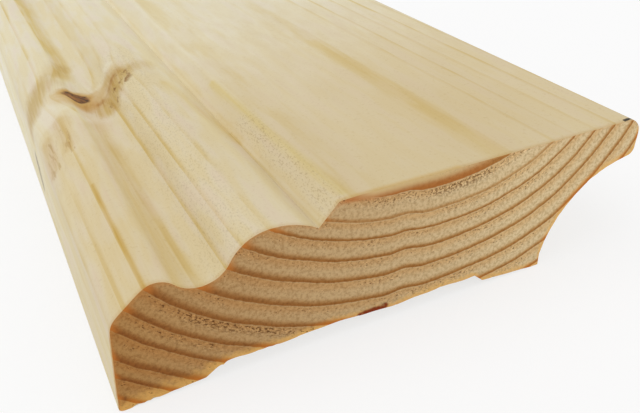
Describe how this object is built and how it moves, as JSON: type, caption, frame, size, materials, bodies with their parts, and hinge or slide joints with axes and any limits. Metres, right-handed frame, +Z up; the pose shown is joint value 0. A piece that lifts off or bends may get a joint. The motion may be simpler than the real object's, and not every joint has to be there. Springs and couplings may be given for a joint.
{
  "type": "skirting board length",
  "caption": "Planed softwood moulding length with a bead and roll along one edge, a coved undercut along the other and a hollowed back, lying face up.",
  "frame": {"origin": "under the middle of the board, at the height of the level surface that it lies on", "axes": "+Y along the length, +X across the width from the thin moulded edge to the nose, +Z up out of the face"},
  "size_m": [0.095, 2.4, 0.025],
  "materials": {
    "planed_pine": "planed, unfinished"
  },
  "bodies": {
    "root": {"skirting_board": "planed_pine"}
  },
  "joints": []
}
